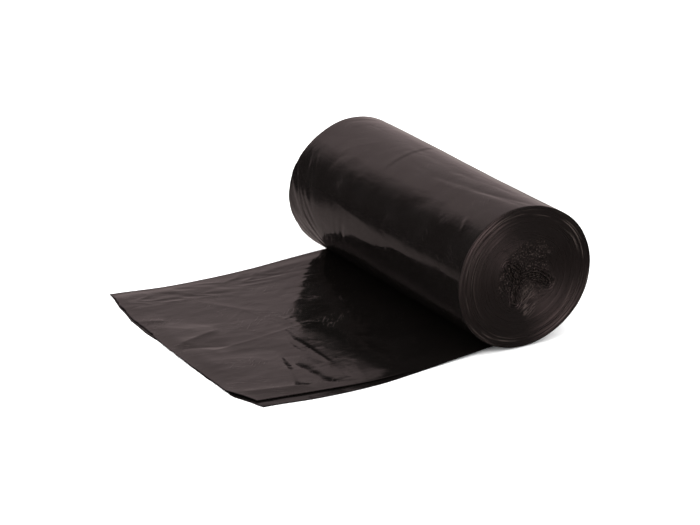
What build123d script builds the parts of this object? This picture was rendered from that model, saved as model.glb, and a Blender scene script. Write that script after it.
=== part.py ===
"""Roll of black refuse sacks, with the free end of its outer bag pulled out flat.

Millimetres, +Z up. The roll's axis runs along Y, and the free end lies towards -X on the
surface that the roll stands on. The origin is the middle of the footprint, on that surface.

The whole web of perforated bags is one solid: a tube folded once lengthwise, wound on itself
with no core. Its fold runs along the +Y end, and its two open edges along the -Y end.
"""

import os
from math import sqrt

from build123d import *

# The web: a bag tube, folded once lengthwise.
web_width = 250.0  # half of a 500 mm lay-flat tube, and so the length of the roll
leaf_thickness = 0.8  # one half of the folded tube, with the air between its films

# The wound roll, an oval that has settled under its own weight.
roll_breadth = 109.0  # across the roll, along X
roll_height = 105.5  # from the surface it stands on to its top
flat_width = 16.0  # flat spot under the roll, across its axis

# The free end of the outer bag.
free_length = 214.0  # from the middle of the flat spot to the torn edge
corner_sweep = 10.0  # how far the torn edge's corners are swept back
corner_run = 34.0  # how far along the torn edge the sweep starts
corner_lift = 2.4  # gap between the two leaves at the open corner
slit_length = 112.0  # how far the open edges stand apart, back from the corner
fold_margin = 12.0  # closed strip along the fold, where the leaves stay together

# The turns that show on each end face, as steps between groups of turns.
rim_width = 2.6  # the proud outer group
turn_pitch = 3.4  # from one group to the next
groove_width = 0.9
groove_depth = 0.7
groove_count = 5

# The crushed middle: three creases that meet off the axis.
crease_width = 2.2
crease_depth = 6.0
crease_offset_x = -8.5
crease_offset_z = -4.0
crease_arms = [(114.0, 16.0), (8.0, 26.0), (-90.0, 13.0)]  # direction in degrees, length

# Worked out from the sizes above.
roll_a = roll_breadth / 2
flat_ratio = sqrt(1 - (flat_width / roll_breadth) ** 2)
roll_b = roll_height / (1 + flat_ratio)
axis_z = roll_b * flat_ratio
roll_x = (free_length - roll_a) / 2
tear_x = roll_x - free_length
corner_x = tear_x + corner_sweep
slit_x = corner_x + slit_length
half_width = web_width / 2
sweep_y = half_width - corner_run
fold_y = half_width - fold_margin
past_tear_x = tear_x - corner_sweep
web_thickness = 2 * leaf_thickness


def free_end_outline():
    """Outline of the free end seen from above, from the roll's flat spot to the torn edge."""
    Line((corner_x, half_width), (roll_x, half_width))
    Line((roll_x, half_width), (roll_x, -half_width))
    Line((roll_x, -half_width), (corner_x, -half_width))
    TangentArc((tear_x, -sweep_y), (corner_x, -half_width), tangent=(0, -1))
    Line((tear_x, -sweep_y), (tear_x, sweep_y))
    TangentArc((tear_x, sweep_y), (corner_x, half_width), tangent=(0, 1))


def open_corner_outline():
    """Outline of the part of the upper leaf that stands off the lower one."""
    Line((slit_x, -half_width), (corner_x, fold_y))
    Line((corner_x, fold_y), (past_tear_x, fold_y))
    Line((past_tear_x, fold_y), (past_tear_x, -half_width))
    Line((past_tear_x, -half_width), (slit_x, -half_width))


def end_plane(side):
    """Plane of an end face, looking outwards, centred on the roll's axis."""
    return Plane(
        origin=(roll_x, side * half_width, axis_z),
        x_dir=(-side, 0, 0),
        z_dir=(0, side, 0),
    )


# The upper leaf's open corner tilts about the line where the two leaves part.
slit_root = Vector(slit_x, -half_width, leaf_thickness)
fold_root = Vector(corner_x, fold_y, leaf_thickness)
lifted_corner = Vector(corner_x, -half_width, leaf_thickness + corner_lift)
leaf_normal = (fold_root - slit_root).cross(lifted_corner - slit_root)
if leaf_normal.Z < 0:
    leaf_normal = -leaf_normal
leaf_under = Plane(origin=slit_root, z_dir=leaf_normal)
leaf_over = Plane(origin=slit_root + Vector(0, 0, leaf_thickness), z_dir=leaf_normal)

with BuildPart() as open_corner:
    with BuildSketch(Plane.XY.offset(leaf_thickness)):
        with BuildLine():
            open_corner_outline()
        make_face()
        with BuildSketch(mode=Mode.INTERSECT):
            with BuildLine():
                free_end_outline()
            make_face()
    extrude(amount=web_thickness + 2 * corner_lift)
    split(bisect_by=leaf_under, keep=Keep.TOP)
    split(bisect_by=leaf_over, keep=Keep.BOTTOM)

with BuildPart() as bag_roll:
    # The free end, with its fold rounded and its upper leaf's corner cut away.
    with BuildSketch(Plane.XY):
        with BuildLine():
            free_end_outline()
        make_face()
    extrude(amount=web_thickness)
    fold_edges = bag_roll.edges().filter_by(Axis.X).group_by(Axis.Y)[-1]
    fillet(fold_edges, radius=0.9 * leaf_thickness)
    with BuildSketch(Plane.XY.offset(leaf_thickness)):
        with BuildLine():
            open_corner_outline()
        make_face()
    extrude(amount=web_thickness, mode=Mode.SUBTRACT)
    add(open_corner.part)

    # The wound turns, flat where they stand.
    with BuildSketch(Plane.XZ):
        with Locations((roll_x, axis_z)):
            Ellipse(roll_a, roll_b)
        with Locations((roll_x, 0)):
            Rectangle(roll_breadth, roll_height, align=(Align.CENTER, Align.MAX), mode=Mode.SUBTRACT)
    extrude(amount=half_width, both=True)

    # Steps between the groups of turns on both end faces.
    for side in (-1, 1):
        with BuildSketch(end_plane(side)):
            for number in range(groove_count):
                inset = rim_width + number * turn_pitch
                Ellipse(roll_a - inset, roll_b - inset)
                inner = inset + groove_width
                Ellipse(roll_a - inner, roll_b - inner, mode=Mode.SUBTRACT)
        extrude(amount=-groove_depth, mode=Mode.SUBTRACT)

    # The three creases of the crushed middle, on both end faces.
    for side in (-1, 1):
        with BuildSketch(end_plane(side)):
            with Locations((-side * crease_offset_x, crease_offset_z)):
                for direction, length in crease_arms:
                    turned = direction if side < 0 else 180 - direction
                    with Locations(Rotation(0, 0, turned)):
                        SlotCenterPoint((length / 2, 0), (length, 0), crease_width)
        extrude(amount=-crease_depth, mode=Mode.SUBTRACT)

bag_roll.part.label = "bag_roll"

os.makedirs("parts", exist_ok=True)
export_step(bag_roll.part, "parts/bag_roll.step")
print("bag_roll", bag_roll.part.bounding_box().size, round(bag_roll.part.volume, 1))
print("solids", len(bag_roll.part.solids()), "valid", bag_roll.part.is_valid)
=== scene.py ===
"""Roll of black refuse sacks, with the free end of its outer bag pulled out over a pale floor.

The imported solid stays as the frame. The film that shows is modelled here: the wound turns, with
their creased side and their two end faces, and the folded free end that lies on the floor.
Shapes are worked out in millimetres and put into the meshes in metres. Finishes and the studio
are in metres.
"""

import logging
import math
from dataclasses import dataclass
from enum import Enum

import bpy
import numpy as np
from mathutils import Matrix, Vector


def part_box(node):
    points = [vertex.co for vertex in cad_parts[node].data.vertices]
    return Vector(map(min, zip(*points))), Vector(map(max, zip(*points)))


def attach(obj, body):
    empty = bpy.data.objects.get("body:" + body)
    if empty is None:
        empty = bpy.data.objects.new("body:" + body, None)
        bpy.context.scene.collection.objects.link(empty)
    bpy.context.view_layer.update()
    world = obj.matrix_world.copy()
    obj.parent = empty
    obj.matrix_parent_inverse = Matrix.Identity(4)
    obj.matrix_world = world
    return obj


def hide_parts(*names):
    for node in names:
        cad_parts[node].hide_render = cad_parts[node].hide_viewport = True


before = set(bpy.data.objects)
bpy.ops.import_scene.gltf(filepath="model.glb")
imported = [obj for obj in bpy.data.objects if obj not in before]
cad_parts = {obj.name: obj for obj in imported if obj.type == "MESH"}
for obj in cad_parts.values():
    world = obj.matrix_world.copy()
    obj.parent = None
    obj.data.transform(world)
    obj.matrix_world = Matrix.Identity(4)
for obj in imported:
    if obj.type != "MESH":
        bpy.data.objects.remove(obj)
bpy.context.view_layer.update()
LOG = logging.getLogger("bag_roll")
Pair = tuple[float, float]
Triple = tuple[float, float, float]
Array = np.ndarray
Object = bpy.types.Object
Socket = bpy.types.NodeSocket
Owner = bpy.types.Material | bpy.types.World
MM = 0.001
BODY = "root"
NODE = "bag_roll"
AXIS_INSET = 54.5
ROLL_RADIUS = 53.5
ROLL_LENGTH = 250.0


class End(Enum):
    """The two ends of the roll, by the side of the row frame that they face."""

    OPEN = -1
    FOLD = 1


def axis_place() -> float:
    """Place of the roll's axis on the row's X, in millimetres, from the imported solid."""
    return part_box(NODE)[1][0] / MM - AXIS_INSET


# Noise and folds, as height fields over a sheet of film, in millimetres

LATTICE_SIZE = 256
DRIFT_SEED = 500
DRIFT_RATE = 0.6
DRIFT_REACH = 0.5
RIDGE_LEVEL = 0.3
RIDGE_SCALE = 1.6
PATCH_CORE = 0.4
CREASE_FADE = (-0.06, 0.2)
STEP_FADE = 0.35


@dataclass(frozen=True)
class Patch:
    """Oval part of a sheet, with a soft edge.

    Attributes:
        centre: Middle of the patch, (along, across).
        reach: Half its size each way.
    """

    centre: Pair
    reach: Pair

    def at(self, s: Array, y: Array) -> Array:
        """Share of each point in the patch, 1 in its middle and 0 outside.

        Args:
            s: Distance along the web.
            y: Distance across the web.

        Returns:
            One share for each point.
        """
        away = np.hypot((s - self.centre[0]) / self.reach[0], (y - self.centre[1]) / self.reach[1])
        return 1 - smooth(PATCH_CORE, 1.0, away)


@dataclass(frozen=True)
class Ripple:
    """Random waves on a sheet, from soft swells to sharp folds.

    Attributes:
        seed: Seed of the random lattice.
        along: Wavelength along the web.
        across: Wavelength across the web.
        height: Height of the waves.
        turn: How far the waves are turned from the web's own direction, in radians.
        fold: How sharp their tops are, from 0, soft swells, to 1, folded ridges.
        patch: Where they are, or None for the whole sheet.
    """

    seed: int
    along: float
    across: float
    height: float
    turn: float = 0.0
    fold: float = 0.0
    patch: Patch | None = None

    def at(self, s: Array, y: Array) -> Array:
        """Heights at points of the sheet.

        Args:
            s: Distance along the web.
            y: Distance across the web.

        Returns:
            One height for each point.
        """
        c, w = math.cos(self.turn), math.sin(self.turn)
        p = (s * c + y * w) / self.along
        q = (y * c - s * w) / self.across
        drift = lattice(self.seed + DRIFT_SEED, p * DRIFT_RATE, q * DRIFT_RATE) * DRIFT_REACH
        wave = lattice(self.seed, p + drift, q - drift)
        height = self.height * (wave * (1 - self.fold) + ridged(wave) * RIDGE_SCALE * self.fold)
        return height if self.patch is None else height * self.patch.at(s, y)


@dataclass(frozen=True)
class Crease:
    """A fold line pressed into the film.

    Attributes:
        start: One end of the line on the sheet, (along, across).
        end: The other end.
        depth: Height of the fold, negative for a valley.
        width: Distance from the line over which the film comes back to level.
        step: How much higher the film lies on one side of the line.
        bow: How far the line bows out from straight at its middle.
    """

    start: Pair
    end: Pair
    depth: float
    width: float
    step: float = 0.0
    bow: float = 0.0

    def at(self, s: Array, y: Array) -> Array:
        """Heights at points of the sheet.

        Args:
            s: Distance along the web.
            y: Distance across the web.

        Returns:
            One height for each point.
        """
        run = np.array(self.end) - np.array(self.start)
        length = np.linalg.norm(run)
        run = run / length
        ds, dy = s - self.start[0], y - self.start[1]
        along = (ds * run[0] + dy * run[1]) / length
        side = dy * run[0] - ds * run[1] - self.bow * 4 * along * (1 - along)
        off = np.abs(side) / self.width
        fade = smooth(*CREASE_FADE, along) * smooth(*CREASE_FADE, 1 - along)
        shift = self.step * np.tanh(side / self.width) * np.exp(-off * STEP_FADE)
        return fade * (self.depth * np.exp(-off) + shift)


def smooth(low: float, high: float, value: Array) -> Array:
    """Smooth step from 0 at low to 1 at high, for arrays."""
    t = np.clip((value - low) / (high - low), 0, 1)
    return t * t * (3 - 2 * t)


def ridged(wave: Array) -> Array:
    """Turns waves into ridges, with a sharp top wherever the wave crosses its middle."""
    return RIDGE_LEVEL - np.abs(wave)


def lattice(seed: int, p: Array, q: Array) -> Array:
    """Smooth noise between -1 and 1 on a unit lattice.

    Args:
        seed: Seed of the lattice.
        p: First coordinate, in lattice cells.
        q: Second coordinate, in lattice cells.

    Returns:
        One value for each point.
    """
    grid = np.random.default_rng(seed).uniform(-1, 1, (LATTICE_SIZE, LATTICE_SIZE))
    i, j = np.floor(p).astype(int), np.floor(q).astype(int)
    u, v = (t * t * t * (t * (t * 6 - 15) + 10) for t in (p - i, q - j))
    rows = (i % LATTICE_SIZE, (i + 1) % LATTICE_SIZE)
    near, far = (grid[rows[0], k % LATTICE_SIZE] * (1 - u) + grid[rows[1], k % LATTICE_SIZE] * u
                 for k in (j, j + 1))
    return near * (1 - v) + far * v


def curve_through(values: Array, place: Array, closed: bool = False) -> Array:
    """Smooth curve through evenly spaced values.

    Args:
        values: The values that it passes.
        place: Where it is read, from 0 at its start to 1 at its end.
        closed: Whether it runs round to its first value again.

    Returns:
        The curve's value at each place.
    """
    count = len(values)
    run = place * (count if closed else count - 1)
    i = np.floor(run).astype(int)
    if not closed:
        i = np.clip(i, 0, count - 2)
    t = run - i
    steps = [(i + k) % count if closed else np.clip(i + k, 0, count - 1) for k in (-1, 0, 1, 2)]
    a, b, c, d = (values[step] for step in steps)
    return b + 0.5 * t * (c - a + t * (2 * a - 5 * b + 4 * c - d + t * (3 * (b - c) + d - a)))


# Finishes, in metres

FULL_GLOSS = 0.5
ACROSS_THE_GRAIN = 0.25


class Shader:
    """The node tree of a material or a world, with short calls to add and join nodes."""

    def __init__(self, owner: Owner) -> None:
        """Empties the tree.

        Args:
            owner: The material or world whose tree it is.
        """
        owner.use_nodes = True
        self.owner = owner
        self.tree = owner.node_tree
        self.tree.nodes.clear()

    @classmethod
    def material(cls, name: str) -> "Shader":
        """Starts an empty material."""
        return cls(bpy.data.materials.new(name))

    def node(self, kind: str, **values: object) -> bpy.types.Node:
        """Adds a node.

        Args:
            kind: Type name of the node.
            **values: Attributes of the node, or values of its named inputs. A socket is linked.

        Returns:
            The new node.
        """
        made = self.tree.nodes.new(kind)
        for key, value in values.items():
            if hasattr(made, key):
                setattr(made, key, value)
            else:
                self.put(made.inputs[key.replace("_", " ")], value)
        return made

    def put(self, target: Socket, value: object) -> None:
        """Links a socket to an input, or sets the input's value.

        Args:
            target: The input.
            value: The socket or the value.
        """
        if isinstance(value, Socket):
            self.tree.links.new(value, target)
        else:
            target.default_value = value

    def worked_out(self, kind: str, operation: str, *values: object) -> bpy.types.Node:
        """Adds a node that works something out.

        Args:
            kind: Type name of the node.
            operation: Name of its operation.
            *values: Its inputs in order, as values or sockets.

        Returns:
            The new node.
        """
        made = self.node(kind, operation=operation)
        for target, value in zip(made.inputs, values):
            self.put(target, value)
        return made

    def maths(self, operation: str, *values: object) -> Socket:
        """Works out a number from numbers."""
        return self.worked_out("ShaderNodeMath", operation, *values).outputs[0]

    def vector(self, operation: str, *values: object, result: str = "Vector") -> Socket:
        """Works out a vector or a number from vectors."""
        return self.worked_out("ShaderNodeVectorMath", operation, *values).outputs[result]

    def most(self, *values: Socket) -> Socket:
        """Finds the largest of some numbers.

        Args:
            *values: The numbers.

        Returns:
            The largest.
        """
        found = values[0]
        for value in values[1:]:
            found = self.maths("MAXIMUM", found, value)
        return found

    def web(self) -> Socket:
        """Place on the web's own map."""
        return self.node("ShaderNodeUVMap", uv_map="web").outputs["UV"]

    def attribute(self, name: str) -> Socket:
        """A number stored on the mesh."""
        return self.node("ShaderNodeAttribute", attribute_name=name).outputs["Fac"]

    def noise(
        self, place: Socket, scale: float = 1.0, detail: float = 2.0, rough: float = 0.5
    ) -> Socket:
        """Noise between 0 and 1.

        Args:
            place: Where it is read.
            scale: How many times it changes over a unit.
            detail: How many finer layers it has.
            rough: How strong those are.

        Returns:
            The noise.
        """
        made = self.node(
            "ShaderNodeTexNoise", Vector=place, Scale=scale, Detail=detail, Roughness=rough)
        return made.outputs["Fac"]

    def ranged(self, value: Socket, source: Pair, target: Pair = (0.0, 1.0)) -> Socket:
        """Maps a value smoothly from one range to another.

        Args:
            value: The value.
            source: Range that it comes in.
            target: Range that it is brought to.

        Returns:
            The mapped value.
        """
        made = self.node("ShaderNodeMapRange", interpolation_type="SMOOTHSTEP", Value=value)
        for name, number in zip(("From Min", "From Max", "To Min", "To Max"), (*source, *target)):
            made.inputs[name].default_value = number
        return made.outputs["Result"]

    def stretched(self, place: Socket, size: Pair, turn: float = 0.0) -> Socket:
        """Turns and stretches the web's map, so that a pattern on it gets a size in metres.

        Args:
            place: The web's map.
            size: Size of the pattern, along and across.
            turn: How far it is turned, in radians.

        Returns:
            The stretched place.
        """
        turned = self.node("ShaderNodeMapping", Vector=place, Rotation=(0, 0, turn))
        scale = (1 / size[0], 1 / size[1], 1)
        return self.node("ShaderNodeMapping", Vector=turned.outputs[0], Scale=scale).outputs[0]

    def bump(self, height: Socket, depth: float, below: Socket | None = None) -> Socket:
        """Adds relief to a surface.

        Args:
            height: The relief's pattern, from 0 to 1.
            depth: Height of the relief, in metres.
            below: The normal that it is laid on, or None for the bare surface.

        Returns:
            The new normal.
        """
        made = self.node("ShaderNodeBump", Strength=1.0, Distance=depth, Height=height)
        if below is not None:
            self.put(made.inputs["Normal"], below)
        return made.outputs["Normal"]

    def blend(self, share: Socket, colour: Triple, low: float, high: float) -> Socket:
        """Varies the strength of a colour.

        Args:
            share: Where it is strong.
            colour: The colour.
            low: Least strength.
            high: Most strength.

        Returns:
            The varied colour.
        """
        made = self.node("ShaderNodeMix", data_type="RGBA")
        values = (share, (*(c * low for c in colour), 1), (*(c * high for c in colour), 1))
        for name, value in zip(("Factor_Float", "A_Color", "B_Color"), values):
            self.put(next(socket for socket in made.inputs if socket.identifier == name), value)
        return next(socket for socket in made.outputs if socket.identifier == "Result_Color")

    def mirrored_as(self, plain: bpy.types.Node, mirrored: bpy.types.Node) -> bpy.types.Node:
        """Shows one surface as it is, and another in its place where gloss mirrors it.

        Args:
            plain: The surface as it is.
            mirrored: The surface as it is mirrored.

        Returns:
            The two together.
        """
        glossy = self.node("ShaderNodeLightPath").outputs["Is Glossy Ray"]
        mix = self.node("ShaderNodeMixShader")
        for target, value in zip(mix.inputs, (glossy, plain.outputs[0], mirrored.outputs[0])):
            self.put(target, value)
        return mix

    def finish(self, surface: bpy.types.Node) -> Owner:
        """Ends the tree.

        Args:
            surface: What it shows.

        Returns:
            The material or world whose tree it is.
        """
        is_world = isinstance(self.owner, bpy.types.World)
        out = self.node("ShaderNodeOutputWorld" if is_world else "ShaderNodeOutputMaterial")
        self.put(out.inputs["Surface"], surface.outputs[0])
        return self.owner


@dataclass(frozen=True)
class Film:
    """Black polythene film, glossy and crinkled. It follows the web's own map.

    Attributes:
        name: Name of the material.
        colour: Colour of the film under its gloss.
        shades: Least and most strength of that colour.
        tint: Colour of the gloss.
        index: Refractive index, which sets how strong the gloss is.
        roughness: Lowest and highest roughness.
        patch_rate: How many times colour and roughness change over a metre.
        patch_levels: Levels of that noise between which they change.
        streak: Wavelength of the drawing lines of the web, along and across.
        streak_height: Height of the drawing lines.
        facet: Size of the flat facets between small folds, along and across.
        facet_turn: How far the facets are turned, in radians.
        warp: How often the facets are pushed aside over a metre, and by how much of their size.
        fold_height: Height of the small folds.
        scratch: Length and width of the sparse scratches.
        scratch_height: Height of the scratches.
        scratch_turns: Direction of each set of scratches, in radians.
        scratch_rates: How many times each set comes and goes over a metre.
        scratch_levels: Levels of the noise between which a scratch starts.
        scratched_levels: Levels of the noise between which scratches start to show.
        sheltered: Strength of the gloss where another leaf shades the film, out of 0.5.
    """

    name: str = "wound_film"
    colour: Triple = (0.0031, 0.0026, 0.0024)
    shades: Pair = (0.8, 1.3)
    tint: Triple = (1.0, 0.92, 0.91)
    index: float = 1.5
    roughness: Pair = (0.07, 0.16)
    patch_rate: float = 30.0
    patch_levels: Pair = (0.35, 0.68)
    streak: Pair = (0.020, 0.0018)
    streak_height: float = 0.00004
    facet: Pair = (0.010, 0.034)
    facet_turn: float = 0.12
    warp: Pair = (60.0, 0.9)
    fold_height: float = 0.00016
    scratch: Pair = (0.012, 0.0011)
    scratch_height: float = 0.00006
    scratch_turns: tuple[float, ...] = (0.9, -0.5)
    scratch_rates: tuple[float, ...] = (37.0, 45.0)
    scratch_levels: Pair = (0.60, 0.70)
    scratched_levels: Pair = (0.60, 0.72)
    sheltered: float = 0.18

    def build(self) -> bpy.types.Material:
        """Makes the material.

        Returns:
            The material.
        """
        s = Shader.material(self.name)
        web = s.web()
        drift = s.node("ShaderNodeTexNoise", Vector=web, Scale=self.warp[0], Detail=2.0)
        push = (self.facet[0] * self.warp[1], self.facet[1] * self.warp[1], 0)
        warped = s.vector("MULTIPLY_ADD", drift.outputs["Color"], push, web)
        facets = s.node(
            "ShaderNodeTexVoronoi", feature="DISTANCE_TO_EDGE", Scale=1.0,
            Vector=s.stretched(warped, self.facet, self.facet_turn))
        streaks = s.noise(s.stretched(web, self.streak), detail=3.0)
        patches = s.noise(web, self.patch_rate, detail=3.0, rough=0.6)
        normal = s.bump(facets.outputs["Distance"], self.fold_height)
        normal = s.bump(streaks, self.streak_height, normal)
        for turn, rate in zip(self.scratch_turns, self.scratch_rates):
            line = s.noise(s.stretched(web, self.scratch, turn), detail=1.0)
            line = s.ranged(line, self.scratch_levels)
            here = s.ranged(s.noise(web, rate, detail=0.0), self.scratched_levels)
            normal = s.bump(s.maths("MULTIPLY", line, here), self.scratch_height, normal)
        gloss = s.ranged(s.attribute("sheltered"), (0.0, 1.0), (FULL_GLOSS, self.sheltered))
        return s.finish(s.node(
            "ShaderNodeBsdfPrincipled", IOR=self.index, Specular_Tint=(*self.tint, 1), Normal=normal,
            Specular_IOR_Level=gloss, Roughness=s.ranged(patches, self.patch_levels, self.roughness),
            Base_Color=s.blend(patches, self.colour, *self.shades)))


@dataclass(frozen=True)
class TurnEdges:
    """Edges of the wound film on an end face, as fine lines that follow the turns.

    It reads where each point lies among the turns and folds from the mesh. Levels are the levels
    of a pattern between which something starts to show.

    Attributes:
        name: Name of the material.
        colour: Colour of the film's edges.
        highlight_and_scratch_gain: How many times lighter painted highlights and scratches are.
        tint: Colour of the gloss.
        index: Refractive index.
        gloss: Strength of the gloss on the turns and in the crushed middle, out of 0.5.
        roughness: Lowest and highest roughness.
        rough_levels: Levels of the fine lines for them.
        grain: How much further the gloss spreads across the turns than along them.
        outer: Winding radius where the loose outer turns start, and where they are loosest.
        tight: Height of the lines on the tight inner turns, as a share.
        slow: How many times the lines change over a metre along the turns.
        pitch: Distance from one bundle of turns to the next, and from one line to the next.
        line_height: Height of the bundles and of the lines.
        ring_pitch: Distance between the turns whose edges get a painted highlight.
        ring_levels: Levels for those painted highlights.
        fold_pitch: Distance between the folds beside the crease.
        fold_count: Number of folds on each side of the crease.
        fold_height: Height of those folds.
        fold_marks: Levels for the lit tops of the folds, and how strong they are.
        valleys: Levels for painted shade in the valleys between the folds, and how dark it is.
        crush: Size of the lumps in the crushed middle, large and small.
        crush_height: Height of those lumps.
        painted_glint_levels: Levels for the painted glints on the lumps.
        slit: Distance from the crease where no light comes back, and where all of it does.
        ragged: Size and depth of the uneven course of the crease and its folds.
        stroke: Length and width of the short scratches under the crease.
        stroke_turn: Their direction, in radians.
        stroke_height: Their height.
        stroke_levels: Levels for them.
        stroke_mark: How light they are, as a share.
    """

    name: str = "turn_edges"
    colour: Triple = (0.0022, 0.0017, 0.0015)
    highlight_and_scratch_gain: float = 18.0
    tint: Triple = (1.0, 0.87, 0.85)
    index: float = 1.6
    gloss: Pair = (0.50, 0.22)
    roughness: Pair = (0.26, 0.42)
    rough_levels: Pair = (0.3, 0.7)
    grain: float = 0.94
    outer: Pair = (0.038, 0.048)
    tight: float = 0.2
    slow: float = 20.0
    pitch: Pair = (0.0016, 0.0005)
    line_height: Pair = (0.0006, 0.00012)
    ring_pitch: float = 0.0010
    ring_levels: Pair = (0.60, 0.66)
    fold_pitch: float = 0.0020
    fold_count: int = 4
    fold_height: float = 0.0005
    fold_marks: tuple[Pair, float] = ((0.60, 0.90), 0.30)
    valleys: tuple[Pair, float] = ((-0.80, -0.20), 0.7)
    crush: Pair = (0.0032, 0.0012)
    crush_height: Pair = (0.0013, 0.0008)
    painted_glint_levels: Pair = (0.57, 0.63)
    slit: Pair = (0.0001, 0.0007)
    ragged: Pair = (0.0030, 0.0026)
    stroke: Pair = (0.009, 0.0010)
    stroke_turn: float = -0.65
    stroke_height: float = 0.0002
    stroke_levels: Pair = (0.50, 0.62)
    stroke_mark: float = 0.8

    def build(self) -> bpy.types.Material:
        """Makes the material.

        Returns:
            The material.
        """
        s = Shader.material(self.name)
        turn, crushed, gap, hatched = (
            s.attribute(name) for name in ("turn", "crushed", "gap", "hatched"))
        face = s.web()
        slowed = s.node("ShaderNodeVectorMath", operation="SCALE", Vector=face, Scale=self.slow)
        slow = slowed.outputs[0]
        outer = s.ranged(turn, self.outer, (self.tight, 1.0))
        normal = None
        for pitch, height in zip(self.pitch, self.line_height):
            lines = self.along_turns(s, slow, turn, pitch)
            normal = s.bump(s.maths("MULTIPLY", lines, outer), height, normal)
        size, depth = self.ragged
        jitter = s.noise(face, 1 / size)
        gap = s.maths("MULTIPLY_ADD", jitter, depth, s.maths("SUBTRACT", gap, depth / 2))
        near = s.ranged(gap, (0.0, self.fold_pitch * self.fold_count), (1.0, 0.0))
        wave = s.maths("COSINE", s.maths("MULTIPLY", gap, 2 * math.pi / self.fold_pitch))
        folds = s.maths("MULTIPLY", wave, near)
        normal = s.bump(folds, self.fold_height, normal)
        for size, height in zip(self.crush, self.crush_height):
            lumps = s.noise(face, 1 / size, detail=3.0, rough=0.6)
            ridge = s.maths("ABSOLUTE", s.maths("SUBTRACT", lumps, 0.5))
            normal = s.bump(s.maths("MULTIPLY", ridge, crushed), height, normal)
        scratches = s.noise(s.stretched(face, self.stroke, self.stroke_turn), detail=1.0)
        strokes = s.maths("MULTIPLY", s.ranged(scratches, self.stroke_levels), hatched)
        normal = s.bump(strokes, self.stroke_height, normal)

        # Painted highlights on outer turns' edges, fold tops and lumps; the scratches are lighter.
        painted_ring_highlights = s.ranged(self.along_turns(s, slow, turn, self.ring_pitch), self.ring_levels)
        levels, strength = self.fold_marks
        marks = s.most(
            s.maths("MULTIPLY", painted_ring_highlights, s.ranged(turn, self.outer)),
            s.ranged(folds, levels, (0.0, strength)),
            # painted glints on the crushed lumps
            s.maths("MULTIPLY", s.ranged(lumps, self.painted_glint_levels), crushed),
            s.maths("MULTIPLY", strokes, self.stroke_mark))
        # Painted shade: gloss turned down in the valleys between the folds and in the crease's slit.
        levels, strength = self.valleys
        valleys = s.maths("MULTIPLY", s.ranged(folds, levels, (1.0, 0.0)), strength)
        shade = s.most(valleys, s.ranged(gap, self.slit, (1.0, 0.0)))
        open_gloss = s.ranged(crushed, (0.0, 1.0), self.gloss)
        return s.finish(s.node(
            "ShaderNodeBsdfPrincipled", IOR=self.index, Specular_Tint=(*self.tint, 1), Normal=normal,
            Specular_IOR_Level=s.maths("MULTIPLY", s.maths("SUBTRACT", 1.0, shade), open_gloss),
            Anisotropic=self.grain, Anisotropic_Rotation=ACROSS_THE_GRAIN,
            Tangent=s.node("ShaderNodeTangent", direction_type="RADIAL", axis="Y").outputs["Tangent"],
            Roughness=s.ranged(lines, self.rough_levels, self.roughness),
            # Colour lighter at the painted highlights and on the scratches.
            Base_Color=s.blend(marks, self.colour, 1.0, self.highlight_and_scratch_gain)))

    def along_turns(self, s: Shader, slow: Socket, turn: Socket, pitch: float) -> Socket:
        """Noise in lines that follow the turns and change slowly along them.

        Args:
            s: The material.
            slow: Place on the face, scaled down.
            turn: Winding radius.
            pitch: Distance from line to line.

        Returns:
            The noise.
        """
        lines = s.node(
            "ShaderNodeTexNoise", noise_dimensions="4D", Vector=slow, Scale=1.0, Detail=2.0,
            W=s.maths("MULTIPLY", turn, 1 / pitch))
        return lines.outputs["Fac"]


@dataclass(frozen=True)
class Pool:
    """Pool of light on the floor, as the film mirrors it.

    Attributes:
        middle: Its place from the roll's axis, along the row's X and Y.
        reach: Distance from its middle where it starts to fade, and where it ends.
        strength: Brightness in its middle.
    """

    middle: Pair
    reach: Pair
    strength: float

    def shine(self, s: Shader, place: Socket) -> Socket:
        """Brightness of the pool over the floor.

        Args:
            s: The floor's material.
            place: Place on the floor, from the roll's axis.

        Returns:
            The brightness.
        """
        away = s.vector("DISTANCE", place, (*self.middle, 0), result="Value")
        return s.ranged(away, self.reach, (self.strength, 0.0))


@dataclass(frozen=True)
class Floor:
    """Pale studio floor. The film mirrors it as pools of light on a dim ground.

    Attributes:
        name: Name of the material.
        colour: Brightness of the floor as seen.
        dim: Brightness of the mirrored floor away from the pools.
        pools: The pools of light.
        beyond_way: Direction in which the mirrored floor grows light for good.
        beyond: Distance that way where it starts to, and where it is lightest.
        beyond_strength: How light it is there.
        tint: Colour of the mirrored floor.
    """

    name: str = "studio_floor"
    colour: float = 0.92
    dim: float = 0.024
    pools: tuple[Pool, ...] = (
        Pool((0.05, 0.33), (0.05, 0.60), 0.205), Pool((-0.30, -0.50), (0.08, 0.55), 0.42))
    beyond_way: Triple = (1.0, 0.5, 0.0)
    beyond: Pair = (0.35, 0.80)
    beyond_strength: float = 0.22
    tint: Triple = (1.0, 0.83, 0.80)

    def build(self, centre: float) -> bpy.types.Material:
        """Makes the material.

        Args:
            centre: Place of the roll's axis on the row's X.

        Returns:
            The material.
        """
        s = Shader.material(self.name)
        here = s.node("ShaderNodeTexCoord").outputs["Object"]
        place = s.vector("SUBTRACT", here, (centre, 0, 0))
        far = s.vector("DOT_PRODUCT", place, self.beyond_way, result="Value")
        beyond = s.ranged(far, self.beyond, (0.0, self.beyond_strength))
        light = s.most(beyond, *(pool.shine(s, place) for pool in self.pools))
        lit = s.blend(light, self.tint, self.dim, 1.0)
        pale = s.node("ShaderNodeBsdfDiffuse", Color=(*(self.colour,) * 3, 1))
        return s.finish(s.mirrored_as(pale, s.node("ShaderNodeBsdfDiffuse", Color=lit)))


# Meshes


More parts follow.
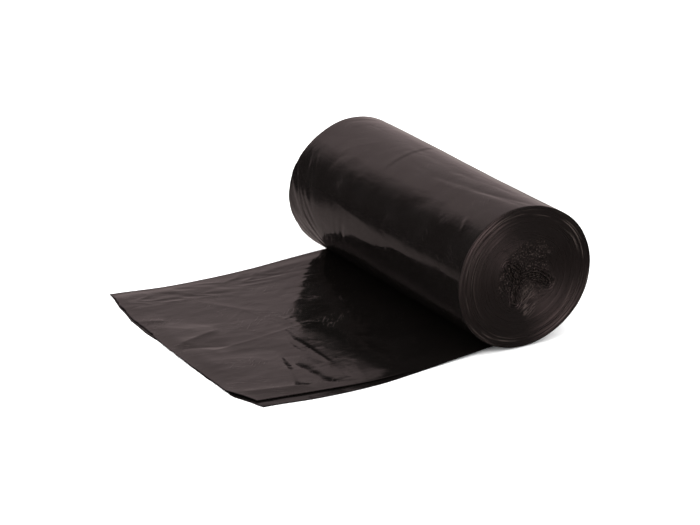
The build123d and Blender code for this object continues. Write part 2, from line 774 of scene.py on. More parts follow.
def flat_sheet(name: str, columns: int, rows: int) -> Object:
    """Adds a unit grid to shape into a piece.

    Args:
        name: Name of the piece.
        columns: Number of points along the web.
        rows: Number of points across the web.

    Returns:
        The grid, with points in rows from its lowest y.
    """
    bpy.ops.object.select_all(action="DESELECT")
    bpy.ops.mesh.primitive_grid_add(x_subdivisions=columns - 1, y_subdivisions=rows - 1, size=1)
    sheet = bpy.context.active_object
    sheet.name = name
    sheet.data.name = name
    return sheet


def set_points(piece: Object, x: Array, y: Array, z: Array) -> None:
    """Moves all points of a mesh.

    Args:
        piece: The object whose mesh is moved.
        x: New places on the row's X, in millimetres.
        y: New places on the row's Y, in millimetres.
        z: New places on the row's Z, in millimetres.
    """
    points = np.stack([x, y, z], axis=-1) * MM
    piece.data.vertices.foreach_set("co", points.astype(np.float32).ravel())
    piece.data.update()


def set_web_map(piece: Object, s: Array, y: Array) -> None:
    """Gives a mesh the UV map of the web, in metres.

    Args:
        piece: The object that gets the map.
        s: Distance along the web of each point, in millimetres.
        y: Distance across the web of each point, in millimetres.
    """
    mesh = piece.data
    while mesh.uv_layers:
        mesh.uv_layers.remove(mesh.uv_layers[0])
    layer = mesh.uv_layers.new(name="web")
    corner = np.empty(len(mesh.loops), dtype=np.int32)
    mesh.loops.foreach_get("vertex_index", corner)
    pairs = np.stack([s.ravel()[corner], y.ravel()[corner]], axis=1) * MM
    layer.data.foreach_set("uv", pairs.astype(np.float32).ravel())


def store(piece: Object, name: str, values: Array) -> None:
    """Stores a value on each point of a mesh, for the finishes to read."""
    layer = piece.data.attributes.new(name, "FLOAT", "POINT")
    layer.data.foreach_set("value", values.ravel().astype(np.float32))


def weld(piece: Object, distance: float) -> None:
    """Merges points that lie together, and turns the faces outwards.

    Args:
        piece: The object whose mesh is closed.
        distance: Largest gap that is closed, in metres.
    """
    bpy.ops.object.select_all(action="DESELECT")
    bpy.context.view_layer.objects.active = piece
    piece.select_set(True)
    bpy.ops.object.mode_set(mode="EDIT")
    bpy.ops.mesh.select_all(action="SELECT")
    bpy.ops.mesh.remove_doubles(threshold=distance)
    bpy.ops.mesh.normals_make_consistent(inside=False)
    bpy.ops.object.mode_set(mode="OBJECT")
    piece.data.shade_smooth()


def settle(piece: Object) -> None:
    """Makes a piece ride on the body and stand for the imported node, and reports it.

    Args:
        piece: The finished piece.
    """
    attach(piece, BODY)
    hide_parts(NODE)
    mesh = piece.data
    LOG.info("%s: %d points, %d faces", piece.name, len(mesh.vertices), len(mesh.polygons))


# The wound turns, in millimetres

ON_LATTICE = 7
FADE_SEED = 50
LUMP_SEED = 90
FOLDED_SEED = 91
RAGGED_SEED = 92
NO_CREASE = 1000.0
WELD = 1e-6


@dataclass(frozen=True)
class Arm:
    """One arm of the crease on which the web was first wound.

    Attributes:
        direction: Way that it leaves the middle of the crease, in degrees from +X.
        length: Its length.
        bend: How far it turns along its length, in radians.
        straight: Share of its length at which it points in its own direction.
        count: Number of points along it.
    """

    direction: float
    length: float
    bend: float = 0.0
    straight: float = 0.3
    count: int = 9

    def points(self, start: Pair) -> Array:
        """Points along the arm.

        Args:
            start: Place of the crease's middle on the face.

        Returns:
            One row, (x, z), for each point.
        """
        share = np.linspace(0, 1, self.count)
        way = math.radians(self.direction) + self.bend * (share - self.straight)
        return np.stack([start[0] + np.cos(way) * self.length * share,
                         start[1] + np.sin(way) * self.length * share], axis=1)


@dataclass(frozen=True)
class Face:
    """How one end of the roll looks. Places on it are (x, z) from the axis.

    Attributes:
        end: The end of the roll.
        seed: Seed of its random bundles.
        set_back: How far it stands back from the end plane, at its top and at its bottom.
        middle: Place of the middle of the crease.
        arms: Arms of the crease.
        hatch: Part with short scratches.
        bundles: Number of bundles of turns that stand out or lie back.
        spacing: Least and most distance between bundles, and how fast the most grows inwards.
        stagger: Height by which the bundles stand out or lie back.
        edge: Half the width of a bundle's slope.
        wobble: How often a bundle's edge wanders round the roll, and how far.
        fade: Mean height of a bundle as a share, how much it changes, and how often round the roll.
        rim: Shares of the radius between which the bundles come up.
        dish: Depth of the hollow in the face, and its share of the radius.
        slit: Depth and half width of the crease's slit.
        fold: Pitch, reach and height of the folds beside the crease.
        calm: How much lower those are at the rim, as a share.
        lumps: Size and height of the soft lumps in the crushed middle.
        folded: Size and height of the folded lumps there.
        crushed_rim: Shares of the radius between which the crushed middle ends.
        ragged: Size and depth of its ragged rim.
        shift: How far it lies on the other side of the axis from the crease, as a share.
        margin: How much further it reaches from its own middle than from the axis.
        first_turns: How fast the winding radius grows away from the crease.
        wound: Shares of the radius between which the turns come to follow the rim instead.
    """

    end: End
    seed: int
    set_back: Pair
    middle: Pair
    arms: tuple[Arm, ...]
    hatch: Patch
    bundles: int = 15
    spacing: Triple = (0.5, 1.1, 0.12)
    stagger: float = 0.4
    edge: float = 0.3
    wobble: Pair = (1.6, 0.7)
    fade: Triple = (0.65, 0.35, 1.3)
    rim: Pair = (0.45, 0.72)
    dish: Pair = (1.8, 0.85)
    slit: Pair = (1.1, 0.7)
    fold: Triple = (2.0, 4.0, 0.32)
    calm: float = 0.6
    lumps: Pair = (4.2, 0.38)
    folded: Pair = (2.6, 0.42)
    crushed_rim: Pair = (0.30, 0.52)
    ragged: Pair = (8.0, 0.14)
    shift: float = 0.7
    margin: float = 0.1
    first_turns: float = 1.15
    wound: Pair = (0.22, 0.7)

    def crease_gap(self, x: Array, z: Array) -> Array:
        """Distance from points of the face to the crease.

        Args:
            x: Place from the axis along the row's X.
            z: Place from the axis along the row's Z.

        Returns:
            One distance for each point.
        """
        gap = np.full(x.shape, NO_CREASE)
        for arm in self.arms:
            path = arm.points(self.middle)
            for (px, pz), (qx, qz) in zip(path[:-1], path[1:]):
                dx, dz = qx - px, qz - pz
                t = np.clip(((x - px) * dx + (z - pz) * dz) / (dx * dx + dz * dz), 0, 1)
                gap = np.minimum(gap, np.hypot(x - px - t * dx, z - pz - t * dz))
        return gap

    def bundled(self, x: Array, z: Array, rho: Array) -> Array:
        """How far the bundles of turns stand out or lie back.

        Args:
            x: Place from the axis along the row's X.
            z: Place from the axis along the row's Z.
            rho: Share of the way from the axis to the rim.

        Returns:
            One height for each point.
        """
        angle = np.arctan2(z, x)
        across, up = np.cos(angle), np.sin(angle)
        draw = np.random.default_rng(self.seed)
        least, most, growth = self.spacing
        rate, reach = self.wobble
        mean, change, fade_rate = self.fade
        relief = np.zeros(rho.shape)
        place, level = 0.0, 0.0
        for number in range(self.bundles):
            place += draw.uniform(least, most + number * growth)
            seed = self.seed + number
            here = place + lattice(seed, across * rate + ON_LATTICE, up * rate + ON_LATTICE) * reach
            height = draw.uniform(-1, 1) * self.stagger
            fade = lattice(seed + FADE_SEED, across * fade_rate, up * fade_rate)
            depth_in = (1 - rho) * ROLL_RADIUS - here
            step = (height - level) * (mean + change * fade)
            relief += step * smooth(-self.edge, self.edge, depth_in)
            level = height
        return relief

    def relief(self, x: Array, z: Array, rho: Array, gap: Array) -> Array:
        """How far each point of the face stands out.

        Args:
            x: Place from the axis along the row's X.
            z: Place from the axis along the row's Z.
            rho: Share of the way from the axis to the rim.
            gap: Distance to the crease.

        Returns:
            One height for each point.
        """
        rim = smooth(*self.rim, rho)
        dish = self.dish[0] * (1 - smooth(0.0, self.dish[1], rho))
        slit = self.slit[0] * np.exp(-((gap / self.slit[1]) ** 2))
        pitch, reach, height = self.fold
        folds = np.cos(gap / pitch * 2 * math.pi) * np.exp(-gap / reach) * height
        size, height = self.lumps
        lumps = lattice(self.seed + LUMP_SEED, x / size, z / size) * height
        size, height = self.folded
        lumps += ridged(lattice(self.seed + FOLDED_SEED, x / size, z / size)) * height
        lumps *= self.crushed(x, z, rho)
        return self.bundled(x, z, rho) * rim - dish - slit + folds * (1 - rim * self.calm) + lumps

    def crushed(self, x: Array, z: Array, rho: Array) -> Array:
        """How crushed each point of the face is, from 0 at the rim to 1 in the middle.

        Args:
            x: Place from the axis along the row's X.
            z: Place from the axis along the row's Z.
            rho: Share of the way from the axis to the rim.

        Returns:
            One share for each point.
        """
        size, depth = self.ragged
        ragged = lattice(self.seed + RAGGED_SEED, x / size, z / size) * depth
        away = np.hypot(x + self.middle[0] * self.shift, z + self.middle[1] * self.shift)
        away = np.minimum(away / ROLL_RADIUS, rho + self.margin)
        return 1 - smooth(*self.crushed_rim, away + ragged)

    def marks(self, x: Array, z: Array, rho: Array, gap: Array) -> dict[str, Array]:
        """What the finish reads at each point of the face.

        Args:
            x: Place from the axis along the row's X.
            z: Place from the axis along the row's Z.
            rho: Share of the way from the axis to the rim.
            gap: Distance to the crease.

        Returns:
            The values by name. Winding radius and distance to the crease are in metres.
        """
        wound = smooth(*self.wound, rho)
        turn = gap * self.first_turns * (1 - wound) + rho * ROLL_RADIUS * wound
        return {"turn": turn * MM, "crushed": self.crushed(x, z, rho), "gap": gap * MM,
                "hatched": self.hatch.at(x, z)}


@dataclass
class WoundTurns:
    """The wound web: its side and its two end faces, as one closed mesh.

    Angles run from +X over the top. The section is a soft oval, given every 30 degrees at each
    end as a share of the mean radius, with the web's flat spot under it.

    Attributes:
        floor_gap: Height of the film's flat spot over the floor.
        columns: Number of points round the roll.
        side_rows: Number of rows of points along its side.
        face_rows: Number of rows of points from a face's middle to its rim.
        corner: Radius of the rim's corner.
        corner_rows: Number of rows of points in it.
        seam: Angle beside the seam, under the roll, over which the folds come up.
        flat_face: Share of the roll's half length from which the end faces are set back.
        open_section: Section at the open end.
        fold_section: Section at the fold's end.
        faces: The end faces.
        ripples: Waves of the side.
        creases: Fold lines of the side.
    """

    floor_gap: float = 0.9
    columns: int = 240
    side_rows: int = 176
    face_rows: int = 106
    corner: float = 0.5
    corner_rows: int = 4
    seam: float = 0.3
    flat_face: float = 0.2
    open_section: tuple[float, ...] = (
        1.055, 1.023, 0.977, 0.969, 0.984, 0.986, 0.979, 0.984, 0.991, 0.990, 1.006, 1.044)
    fold_section: tuple[float, ...] = (
        0.974, 1.003, 1.015, 0.990, 0.972, 1.004, 1.017, 1.000, 0.988, 1.000, 1.000, 0.977)
    faces: tuple[Face, ...] = (
        Face(End.OPEN, 60, (1.0, 5.0), (-4.2, -6.2),
             (Arm(116, 17.4), Arm(59, 15, 1.08), Arm(42, 26, -1.17), Arm(-109, 12, 0.35)),
             Patch((5.5, -19), (9, 16))),
        Face(End.FOLD, 70, (0.0, 0.0), (5.0, 3.0), (Arm(150, 20, 0.3), Arm(-40, 18, 0.5)),
             Patch((-4, 16), (12, 8))),
    )
    ripples: tuple[Ripple, ...] = (
        Ripple(11, 17, 130, 0.26, 0.10, 0.4),
        Ripple(12, 46, 60, 0.42, 0.3),
        Ripple(13, 9, 42, 0.09, 0.14, 0.6),
        Ripple(14, 30, 9, 0.05, 0.2, 0.4),
        Ripple(18, 16, 11, 0.13, 0.5, 0.3, Patch((128, 78), (34, 60))),
        Ripple(19, 30, 5.2, 0.22, 0.1, 0.5, Patch((182, 60), (24, 60))),
        Ripple(20, 22, 36, 0.30, 0.0, 0.2, Patch((120, 20), (26, 170))),
        Ripple(16, 9, 90, 0.20, 0.06, 0.3, Patch((90, -45), (34, 120))),
        Ripple(15, 44, 4.0, 0.62, -0.62, 0.9, Patch((178, 112), (62, 34))),
        Ripple(17, 40, 5, 0.30, 0.35, 0.9, Patch((20, 112), (90, 26))),
    )
    creases: tuple[Crease, ...] = (
        Crease((120, 8), (114, -150), 0.0, 13, -0.6),
        Crease((121, 160), (119, -10), 0.0, 13, -0.55),
        Crease((115, 22), (62, 30), 0.0, 1.4, -0.24, 2.2),
        Crease((99, -62), (75, -128), -0.34, 2.4, 0.10),
        Crease((87, -26), (72, -100), -0.24, 2.2, 0.10),
        Crease((101, -22), (84, -124), -0.40, 3.0, 0.20),
        Crease((100, -30), (94, -78), 0.26, 2.2, 0.0, 4),
        Crease((88, -34), (78, -82), 0.14, 2.0, 0.0, -3),
        Crease((108, 92), (95, 78), -0.10, 1.4),
        Crease((117, -100), (130, -106), 0.34, 1.3),
        Crease((121, -99), (125, -109), 0.28, 1.3),
        Crease((118, 84), (92, 60), 0.12, 2.2),
        Crease((-10, 40), (60, 64), -0.22, 2.4, 0.0, 5),
        Crease((-30, -60), (48, -74), 0.20, 2.6, 0.06, 6),
        Crease((10, -90), (24, 30), -0.24, 3.2, 0.10, 4),
        Crease((-52, 110), (-34, -20), 0.20, 3.4, 0.08, -5),
    )

    def section(self, angle: Array, y: Array) -> Array:
        """Radius of the roll's side.

        Args:
            angle: Angle from +X, in radians.
            y: Place along the roll.

        Returns:
            The distance from the axis.
        """
        mix = smooth(-ROLL_LENGTH / 2, ROLL_LENGTH / 2, y)
        turns = np.mod(angle / (2 * math.pi), 1)
        ends = [curve_through(np.array(values), turns, closed=True)
                for values in (self.open_section, self.fold_section)]
        return ROLL_RADIUS * (ends[0] * (1 - mix) + ends[1] * mix)

    def runs(self) -> tuple[Array, Array, Array]:
        """Rows of the mesh, from the middle of one face over the side to the middle of the other.

        Returns:
            For each row its share of the radius, its place along the roll from -1 to 1, and how
            far it has turned onto a face, from 0 on the side to 1.
        """
        face = np.linspace(0, 1, self.face_rows)
        bend = np.cos(np.linspace(math.pi / 2, 0, self.corner_rows + 1)[:-1][::-1])
        ones, side = np.ones(self.face_rows), np.linspace(-1, 1, self.side_rows)
        rho = [face, np.ones(len(bend) * 2 + self.side_rows), face[::-1]]
        lie = [-ones, -np.ones(len(bend)), side, np.ones(len(bend)), ones]
        cap = [ones, bend, np.zeros(self.side_rows), bend[::-1], ones]
        return tuple(np.concatenate(parts)[:, None] for parts in (rho, lie, cap))

    def build(self) -> Object:
        """Winds a grid round the axis and closes it with the two end faces.

        Returns:
            The piece.
        """
        rho, lie, cap = self.runs()
        rows = len(rho)
        piece = flat_sheet("wound_turns", self.columns, rows)
        under = -math.pi / 2
        angle = np.linspace(under, under + 2 * math.pi, self.columns)[None, :]
        rho, lie, cap, angle = np.broadcast_arrays(rho, lie, cap, angle)
        y_side, s = lie * (ROLL_LENGTH / 2 - self.corner), angle * ROLL_RADIUS
        from_seam = np.minimum(angle - under, under + 2 * math.pi - angle)
        lift = sum(shape.at(s, y_side) for shape in self.ripples + self.creases)
        lift = lift * smooth(0, self.seam, from_seam)
        reach = self.section(angle, y_side) + lift
        reach = (reach - self.corner * (1 - np.sqrt(np.clip(1 - cap * cap, 0, 1)))) * rho
        x, z = reach * np.cos(angle), reach * np.sin(angle)
        y = y_side + np.sign(lie) * self.corner * cap
        none = np.zeros(rho.shape)
        marks = {"turn": rho * ROLL_RADIUS * MM, "crushed": none, "gap": none + NO_CREASE * MM,
                 "hatched": none}
        for face in self.faces:
            outwards = face.end.value
            here = (cap >= 1) & (np.sign(lie) == outwards)
            gap = face.crease_gap(x, z)
            high, low = face.set_back
            tilt = high + (low - high) * (0.5 - z / (2 * ROLL_RADIUS))
            y = y + here * outwards * face.relief(x, z, rho, gap)
            y = y - outwards * tilt * smooth(self.flat_face, 1.0, outwards * lie)
            found = face.marks(x, z, rho, gap)
            marks = {name: np.where(here, found[name], marks[name]) for name in marks}
        set_points(piece, x + axis_place(), y, np.maximum(z + ROLL_RADIUS, self.floor_gap))
        set_web_map(piece, np.where(cap >= 1, x, s), np.where(cap >= 1, z, y_side))
        for name, values in marks.items():
            store(piece, name, values)
        self.dress(piece, rows)
        weld(piece, WELD)
        settle(piece)
        return piece

    def dress(self, piece: Object, rows: int) -> None:
        """Gives the side and the end faces their finishes.

        Args:
            piece: The roll's mesh.
            rows: Number of rows of points in it.
        """
        piece.data.materials.append(Film().build())
        piece.data.materials.append(TurnEdges().build())
        finish = np.zeros((rows - 1, self.columns - 1), dtype=np.int32)
        finish[: self.face_rows - 1] = 1
        finish[rows - self.face_rows :] = 1
        piece.data.polygons.foreach_set("material_index", finish.ravel())


# The free end, in millimetres

TEAR_SEEDS = (41, 42)
SWELL_SEED = 45
STEEPEST = 30
FINE_WELD = 1e-7


@dataclass
class FreeEnd:
    """The free end of the outer bag: a tube folded once, so two leaves joined along +Y.

    Places on it are measured back from the roll's foot (along) and on the row's Y (across). A
    share across runs from 0 at the open edge to 1 at the fold.

    Attributes:
        length: Distance from the roll's foot to the torn edge.
        under_roll: How far the film goes on under the roll.
        film: Thickness of the film.
        rest: Height of the lower leaf's middle over the floor, in thicknesses.
        fold_radius: Radius of the fold.
        columns: Number of points along the web.
        upper_rows: Number of rows of points in the upper leaf.
        fold_rows: Number of rows of points round the fold.
        lower_rows: Number of rows of points in the lower leaf.
        crowding: How much closer those lie at its open edge, which shows, as a power.
        lower_edge: Place of the lower leaf's open edge, from the roll to the torn edge.
        upper_inset: How far the upper leaf's open edge lies inside that.
        fold_edge: Place of the fold.
        near_corner: How far the torn edge falls back at the open edge, and share across where
            that ends.
        far_corner: How far it falls back at the fold.
        far_across: Shares across between which it does.
        tear_wave: How many waves the torn edge has across, how deep they are, and how far those
            of the two leaves differ.
        tear_rough: The same for its roughness.
        pulled: How much shorter the upper leaf is beside the fold.
        pulled_across: Shares across between which that starts, and between which it ends.
        rest_gap: Distance between the leaves.
        open_along: Distances along between which the leaves part.
        hump: Place, reach and height of the hump where the upper leaf buckled.
        hump_across: Shares across between which it comes up, and between which it ends.
        torn_along: Distance from the torn edge over which the film calms down.
        torn_calm: How calm it gets there, as a share.
        edge_calm: Least height of the folds at the open edge, and share across where they are full.
        fold_calm: Share across from which the folds die out to the fold.
        mouth: How far the open edge gapes.
        mouth_along: Distances along between which it starts to.
        mouth_across: Share across where it ends.
        lip: How far the torn corner gapes.
        lip_across: Shares across between which that ends.
        softness: Height over which the upper leaf settles on the lower one.
        spring: Height, reach and power of the film's rise towards the roll.
        spring_along: Distances along between which that comes up, out from under the roll.
        far_rise: Start, width and height of the rise at the fold, on the row's Y.
        far_along: Distances along between which that comes up, and between which it ends.
        swell: Size along and across of the lower leaf's swells, and their height.
        lower_lip: Height of the lower leaf's lip, and share across where it ends.
        lower_along: Distances along between which the lower leaf starts to swell.
        lower_across: Shares across between which its swells end.
        ripples: Waves of the upper leaf.
        creases: Fold lines of the upper leaf.
    """

    length: float = 214.0
    under_roll: float = 7.0
    film: float = 0.12
    rest: float = 0.8
    fold_radius: float = 0.15
    columns: int = 182
    upper_rows: int = 200
    fold_rows: int = 7
    lower_rows: int = 38
    crowding: float = 1.5
    lower_edge: tuple[float, ...] = (-108, -115, -121, -127.5, -127, -121)
    upper_inset: tuple[float, ...] = (0, 0, 2.5, 6.5, 10.5, 10)
    fold_edge: tuple[float, ...] = (123, 122, 122, 122, 123, 130)
    near_corner: Pair = (11.0, 0.11)
    far_corner: float = 9.0
    far_across: Pair = (0.74, 1.02)
    tear_wave: Triple = (11.0, 1.1, 0.6)
    tear_rough: Triple = (55.0, 0.35, 2.0)
    pulled: float = 1.6
    pulled_across: tuple[Pair, ...] = ((0.45, 0.7), (0.93, 1.0))
    rest_gap: float = 0.9
    open_along: Pair = (5.0, 60.0)
    hump: Triple = (100.0, 18.0, 1.0)
    hump_across: tuple[Pair, ...] = ((-0.60, 0.15), (0.34, 0.58))
    torn_along: float = 16.0
    torn_calm: float = 0.75
    edge_calm: Pair = (0.3, 0.06)
    fold_calm: float = 0.94
    mouth: float = 0.5
    mouth_along: Pair = (82.0, 112.0)
    mouth_across: float = 0.5
    lip: float = 0.9
    lip_across: Pair = (0.02, 0.2)
    softness: float = 0.12
    spring: Triple = (3.0, 88.0, 1.2)
    spring_along: Pair = (-2.0, 26.0)
    far_rise: Triple = (42.0, 80.0, 2.8)
    far_along: tuple[Pair, ...] = ((-2.0, 24.0), (30.0, 130.0))
    swell: Triple = (26.0, 9.0, 0.25)
    lower_lip: Pair = (0.2, 0.035)
    lower_along: Pair = (10.0, 50.0)
    lower_across: Pair = (0.1, 0.2)
    ripples: tuple[Ripple, ...] = (
        Ripple(21, 75, 48, 0.50, 0.1),
        Ripple(22, 62, 24, 0.42, 0.12, 0.3, Patch((225, 0.0), (110, 240))),
        Ripple(23, 34, 9, 0.06, -0.1, 0.6),
        Ripple(24, 18, 14, 0.07, 0.7, 0.8),
        Ripple(25, 14, 6, 0.27, 0.4, 0.9, Patch((140, 104), (90, 32))),
        Ripple(27, 24, 4, 0.16, 0.15, 0.6, Patch((72, 88), (52, 46))),
        Ripple(26, 9, 7, 0.16, -0.4, 0.9, Patch((115, 6), (18, 18))),
        Ripple(28, 40, 30, 0.26, 0.9, 0.9, Patch((170, 20), (70, 120))),
    )
    creases: tuple[Crease, ...] = (
        Crease((193, -15), (148, -9), 0.18, 1.4),
        Crease((150, -9), (102, 0), 0.20, 1.4),
        Crease((208, 7), (168, 21), 0.60, 5.0),
        Crease((212, 1), (174, -12), -0.70, 6.0),
        Crease((179, 42), (165, 18), 0.0, 2.2, 0.10),
        Crease((154, 31), (133, 49), 0.14, 1.2),
        Crease((134, 48), (129, 28), 0.12, 1.4),
        Crease((118, 21), (118, -3), 0.16, 1.3, 0.12),
        Crease((112, 20), (113, -7), 0.16, 1.3, 0.10),
        Crease((122, 26), (107, -4), 0.16, 1.2),
        Crease((125, 9), (130, -38), 0.0, 2.4, 0.14),
        Crease((132, -6), (137, -42), 0.0, 1.8, 0.09),
        Crease((128, -24), (129, -80), 0.16, 1.6, 0.10),
        Crease((149, -60), (143, -114), 0.0, 5.0, 0.43, 1),
        Crease((151, -38), (171, -110), 0.0, 4.0, 0.45, -2),
        Crease((164, -101), (157, -114), 0.0, 2.0, 0.16),
        Crease((216, 68), (192, 56), 0.60, 5.0),
        Crease((214, -90), (156, -106), 0.55, 6.0),
    )

    def build(self) -> Object:
        """Folds a grid in two and lays it on the floor.

        Returns:
            The piece.
        """
        along, across, top, level, bulge = self.runs()
        piece = flat_sheet("free_end", self.columns, len(across))
        y_near, y_far = self.edges(along, top)
        y = y_near + (y_far - y_near) * across + bulge * self.fold_radius
        a = along * (self.tear(across, top) + self.under_roll) - self.under_roll
        rest = self.film * self.rest + self.fold_radius * (1 + level)
        z = rest + top * self.rise(a, y, across) + (1 - top) * self.lower_rise(a, y, across)
        set_points(piece, axis_place() - a, y, z + self.curl(a, y))
        is_upper = top > 0.5
        set_web_map(piece, a, np.where(is_upper, across, 2 - across) * ROLL_LENGTH)
        store(piece, "sheltered", 1 - top)
        piece.data.materials.append(self.finish().build())
        thick = piece.modifiers.new("film", "SOLIDIFY")
        thick.thickness = self.film * MM
        thick.offset = 0.0
        bpy.ops.object.modifier_apply(modifier=thick.name)
        weld(piece, FINE_WELD)
        settle(piece)
        return piece

    def finish(self) -> Film:
        """Finish of the loose film, more crumpled than the wound film.

        Returns:
            The finish.
        """
        return Film(
            name="loose_film", index=1.4, streak=(0.022, 0.0022), streak_height=0.00003,
            facet=(0.034, 0.019), fold_height=0.00026, scratch_height=0.00012)

    def runs(self) -> tuple[Array, ...]:
        """Rows and columns of the mesh, from the upper leaf's open edge over the fold and back.

        Returns:
            For each point its share along and across, whether it is in the upper leaf, its level
            from -1 to 1, and how far it bulges round the fold.
        """
        along = np.linspace(1, 0, self.columns)[None, :]
        upper = np.linspace(0, 1, self.upper_rows)
        lower = np.linspace(1, 0, self.lower_rows) ** self.crowding
        bend = np.linspace(0, math.pi, self.fold_rows + 2)[1:-1]
        across = np.concatenate([upper, np.ones(self.fold_rows), lower])[:, None]
        level = np.concatenate([np.ones(len(upper)), np.cos(bend), -np.ones(len(lower))])[:, None]
        bulge = np.concatenate([np.zeros(len(upper)), np.sin(bend), np.zeros(len(lower))])[:, None]
        along, across, level, bulge = np.broadcast_arrays(along, across, level, bulge)
        return along, across, (level + 1) / 2, level, bulge

    def edges(self, along: Array, top: Array) -> tuple[Array, Array]:
        """Places of the open edges and of the fold on the row's Y.

        Args:
            along: Share of the way to the torn edge.
            top: Share of the upper leaf.

        Returns:
            The near edge and the fold.
        """
        near, inset, far = (curve_through(np.array(values), along)
                            for values in (self.lower_edge, self.upper_inset, self.fold_edge))
        return near + top * inset, far

    def tear(self, across: Array, top: Array) -> Array:
        """How far the film reaches along the web, at the torn edge.

        Args:
            across: Share across.
            top: Share of the upper leaf.

        Returns:
            The length at each point.
        """
        depth, width = self.near_corner
        near = depth * np.clip(1 - across / width, 0, 1)
        far = self.far_corner * smooth(*self.far_across, across)
        wave, rough = (
            lattice(seed, across * count, top * apart + 0.3) * depth
            for seed, (count, depth, apart) in zip(TEAR_SEEDS, (self.tear_wave, self.tear_rough)))
        start, stop = self.pulled_across
        pulled = top * self.pulled * smooth(*start, across) * (1 - smooth(*stop, across))
        return self.length - near - far + wave + rough - pulled

    def rise(self, a: Array, y: Array, across: Array) -> Array:
        """How far the upper leaf stands off the lower one.

        Args:
            a: Distance back from the roll's foot.
            y: Place on the row's Y.
            across: Share across.

        Returns:
            One height for each point.
        """
        shape = sum(part.at(a, y) for part in self.ripples + self.creases)
        place, reach, height = self.hump
        start, stop = self.hump_across
        hump = np.exp(-(((a - place) / reach) ** 2)) * smooth(*start, across) * height
        hump = hump * (1 - smooth(*stop, across))
        body = (self.rest_gap + shape) * smooth(*self.open_along, a) + hump
        torn = 1 - smooth(0.0, self.torn_along, self.length - a)
        least, full = self.edge_calm
        calm = (1 - self.torn_calm * torn) * (least + (1 - least) * smooth(0.0, full, across))
        calm = calm * (1 - smooth(self.fold_calm, 1.0, across))
        mouth = self.mouth * smooth(*self.mouth_along, a)
        mouth = mouth * (1 - smooth(0.0, self.mouth_across, across))
        lip = self.lip * torn * (1 - smooth(*self.lip_across, across))
        lifted = (body * calm + mouth + lip) / self.softness
        return self.softness * np.log1p(np.exp(np.clip(lifted, -STEEPEST, STEEPEST)))

    def curl(self, a: Array, y: Array) -> Array:
        """How far both leaves still bend up towards the roll that they leave.

        Args:
            a: Distance back from the roll's foot.
            y: Place on the row's Y.

        Returns:
            One height for each point.
        """
        height, reach, power = self.spring
        spring = height * np.clip(1 - a / reach, 0, 1) ** power * smooth(*self.spring_along, a)
        edge, width, height = self.far_rise
        start, stop = self.far_along
        far = np.clip((y - edge) / width, 0, 1) ** 2 * height
        return spring + far * smooth(*start, a) * (1 - smooth(*stop, a))

    def lower_rise(self, a: Array, y: Array, across: Array) -> Array:
        """Small swells of the lower leaf, which lies on the floor.

        Args:
            a: Distance back from the roll's foot.
            y: Place on the row's Y.
            across: Share across.

        Returns:
            One height for each point.
        """
        size_along, size_across, height = self.swell
        swell = np.abs(lattice(SWELL_SEED, a / size_along, y / size_across)) * height
        height, width = self.lower_lip
        lip = height * (1 - smooth(0.0, width, across))
        return (swell + lip) * smooth(*self.lower_along, a) * (1 - smooth(*self.lower_across, across))


# Studio, in metres


@dataclass(frozen=True)
class LightTents:
    """Two wide soft lights on opposite sides, as the film's gloss shows them.

    Attributes:
        bearing: Bearing of the first one's middle, in degrees from +Y towards +X.
        edge: How soft its edges are, as a share of a quarter turn.
        light: Brightness at its middle.
        falloff: How much brighter and dimmer its two sides are.
        rise: Brightness near the horizon and high up, as shares.
        high: Height at which it gets to the second of them, 1 being straight above.
        behind: How many times brighter the second one is.
        behind_width: Direction along Y between which the one passes into the other.
        dark: Brightness of the room between the two.
        zenith: Brightness straight above.
        zenith_heights: Heights between which that takes over.
        tint: Colour of the light.
    """

    bearing: float = 29.5
    edge: float = 0.38
    light: float = 0.39
    falloff: float = 0.21
    rise: Pair = (1.50, 0.95)
    high: float = 0.62
    behind: float = 3.6
    behind_width: Pair = (-0.2, 0.2)
    dark: float = 0.042
    zenith: float = 0.40
    zenith_heights: Pair = (0.70, 0.97)
    tint: Triple = (1.0, 0.80, 0.795)

    def build(self, world: bpy.types.World, strength: float) -> None:
        """Fills a world: plain white light, and these lights where the film mirrors it.

        Args:
            world: The world.
            strength: Strength of the plain light.
        """
        s = Shader(world)
        around = s.node("ShaderNodeTexCoord").outputs["Generated"]
        way = s.node("ShaderNodeSeparateXYZ", Vector=around)
        bearing = s.maths("ARCTAN2", way.outputs["X"], way.outputs["Y"])
        double = s.maths("MULTIPLY", s.maths("SUBTRACT", bearing, math.radians(self.bearing)), 2.0)
        tent = s.ranged(s.maths("COSINE", double), (-self.edge, self.edge))
        glow = s.maths("MULTIPLY_ADD", s.maths("SINE", double), -self.falloff, self.light)
        second = s.ranged(way.outputs["Y"], self.behind_width, (self.behind, 1.0))
        height = way.outputs["Z"]
        climb = s.node("ShaderNodeMapRange", Value=height, From_Max=self.high, To_Min=self.rise[0],
                       To_Max=self.rise[1])
        for share in (second, tent, climb.outputs["Result"]):
            glow = s.maths("MULTIPLY", glow, share)
        above = s.ranged(height, self.zenith_heights)
        below = s.maths("MULTIPLY", s.maths("ADD", glow, self.dark), s.maths("SUBTRACT", 1.0, above))
        glow = s.maths("MULTIPLY_ADD", above, self.zenith, below)
        mirrored = s.node("ShaderNodeBackground", Color=(*self.tint, 1), Strength=glow)
        plain = s.node("ShaderNodeBackground", Color=(1, 1, 1, 1), Strength=strength)
        s.finish(s.mirrored_as(plain, mirrored))


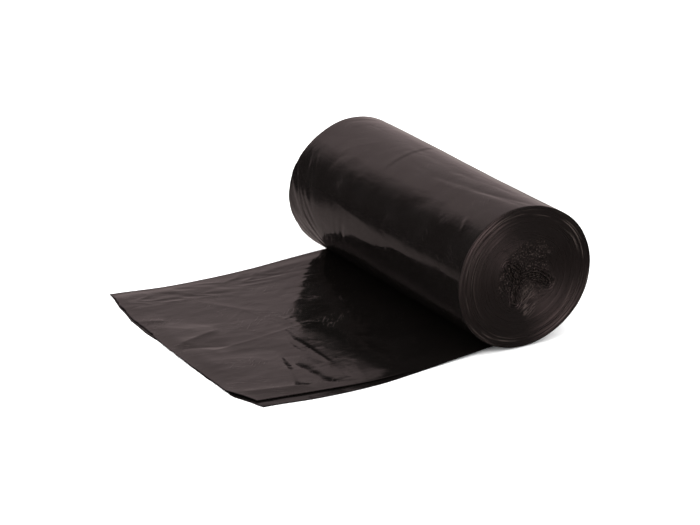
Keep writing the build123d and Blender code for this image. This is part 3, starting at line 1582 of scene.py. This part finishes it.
@dataclass
class Studio:
    """Pale floor, soft light and the camera.

    Attributes:
        lens: Focal length of the camera, in millimetres.
        film_width: Width of its picture, in millimetres.
        clip: Nearest and furthest distance that it sees.
        camera_place: Its place from the roll's axis on the floor, in radii of the roll.
        look: Direction in which it looks.
        roll: How far it is turned about that direction, in degrees.
        floor_size: Width of the floor.
        light: Strength of the plain light.
    """

    lens: float = 130.0
    film_width: float = 36.0
    clip: Pair = (0.05, 100.0)
    camera_place: Triple = (-16.718, -28.258, 12.400)
    look: Triple = (0.45006, 0.82558, -0.34040)
    roll: float = -1.107
    floor_size: float = 40.0
    light: float = 2.2

    def build(self, axis_x: float) -> None:
        """Makes the floor, the surroundings and the camera.

        Args:
            axis_x: Place of the roll's axis on the row's X.
        """
        scene = bpy.context.scene
        self.floor(axis_x)
        scene.world = bpy.data.worlds.new("studio")
        LightTents().build(scene.world, self.light)
        self.camera(axis_x)
        scene.view_settings.view_transform = "Standard"
        scene.view_settings.look = "None"

    def floor(self, axis_x: float) -> None:
        """Adds the floor.

        Args:
            axis_x: Place of the roll's axis on the row's X.
        """
        bpy.ops.object.select_all(action="DESELECT")
        bpy.ops.mesh.primitive_plane_add(size=self.floor_size, location=(0, 0, 0))
        floor = bpy.context.active_object
        floor.name = "floor"
        floor.data.materials.append(Floor().build(axis_x))

    def camera(self, axis_x: float) -> None:
        """Adds the camera.

        Args:
            axis_x: Place of the roll's axis on the row's X.
        """
        data = bpy.data.cameras.new("camera")
        data.lens = self.lens
        data.sensor_width = self.film_width
        data.clip_start, data.clip_end = self.clip
        camera = bpy.data.objects.new("camera", data)
        bpy.context.collection.objects.link(camera)
        place = Vector(self.camera_place) * ROLL_RADIUS * MM
        place.x += axis_x
        turn = Vector(self.look).to_track_quat("-Z", "Y").to_matrix()
        turn = turn @ Matrix.Rotation(math.radians(self.roll), 3, "Z")
        camera.matrix_world = Matrix.Translation(place) @ turn.to_4x4()
        bpy.context.scene.camera = camera


def main() -> None:
    logging.basicConfig(level=logging.INFO, format="%(name)s %(message)s")
    WoundTurns().build()
    FreeEnd().build()
    Studio().build(axis_place() * MM)


if __name__ == "__main__":
    main()
